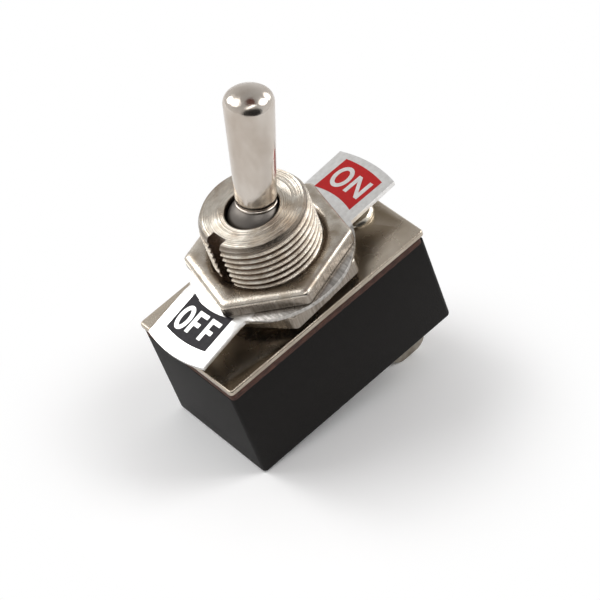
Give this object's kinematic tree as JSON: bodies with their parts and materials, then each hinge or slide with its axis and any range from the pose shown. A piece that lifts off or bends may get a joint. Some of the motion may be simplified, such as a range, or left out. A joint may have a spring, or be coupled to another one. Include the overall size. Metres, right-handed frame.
{
  "type": "panel toggle switch",
  "caption": "Panel toggle switch: bat lever in a keyed threaded bushing with nuts and an ON-OFF label plate, on a moulded case with solder lugs.",
  "frame": {"origin": "on the bushing's axis, level with the upper face of the top nut, where the free thread begins", "axes": "+Z along the bushing towards the lever, +X towards the label plate's ON tab, -Y towards the viewer's side of the case"},
  "size_m": [0.0298, 0.0178, 0.0446],
  "materials": {
    "case_moulding": "satin black phenolic moulding",
    "gasket_fibre": "red-brown vulcanised fibre",
    "plated_steel": "nickel-plated stamped steel",
    "plated_brass": "nickel-plated turned brass",
    "eyelet_metal": "plated tubular eyelet",
    "label_aluminium": "satin aluminium, printed",
    "contact_brass": "bare brass",
    "tinned_terminal": "tinned brass, dulled",
    "contact_silver": "silver contact metal",
    "spring_steel": "drawn spring wire",
    "insulating_moulding": "brown phenolic moulding",
    "pin_steel": "ground steel"
  },
  "bodies": {
    "base": {"case": "case_moulding", "gasket": "gasket_fibre", "frame_plate": "plated_steel", "case_eyelets": "eyelet_metal", "bushing": "plated_brass", "ball_seat": "insulating_moulding", "seat_spring": "spring_steel", "retaining_ring": "pin_steel", "lower_nut": "plated_steel", "label_plate": "label_aluminium", "top_nut": "plated_brass", "terminal_front": "tinned_terminal", "terminal_rear": "tinned_terminal", "fixed_contacts": "contact_silver", "terminal_rivets": "contact_brass"},
    "lever": {"lever": "plated_brass", "pivot_pin": "pin_steel"},
    "carriage": {"carriage": "insulating_moulding"},
    "bridge": {"bridge_bar": "contact_brass", "bridge_contacts": "contact_silver", "bridge_spring": "spring_steel"}
  },
  "joints": [
    {"name": "lever_tilt", "type": "hinge", "parent": "base", "child": "lever", "pos_m": [0, 0, 0.00305], "axis": [0, 1, 0], "range_deg": [-32, 0]},
    {"name": "carriage_slide", "type": "slide", "parent": "base", "child": "carriage", "axis": [1, 0, 0], "range_m": [0, 0.0072]},
    {"name": "bridge_lift", "type": "slide", "parent": "carriage", "child": "bridge", "axis": [0, 0, 1], "range_m": [0, 0.0005], "stiffness_N_per_m": 200, "springref_m": -0.002, "deforming": ["bridge_spring"]}
  ],
  "couplings": [
    {"joint": "carriage_slide", "follows": "lever_tilt", "m_per_rad": -0.01283}
  ]
}
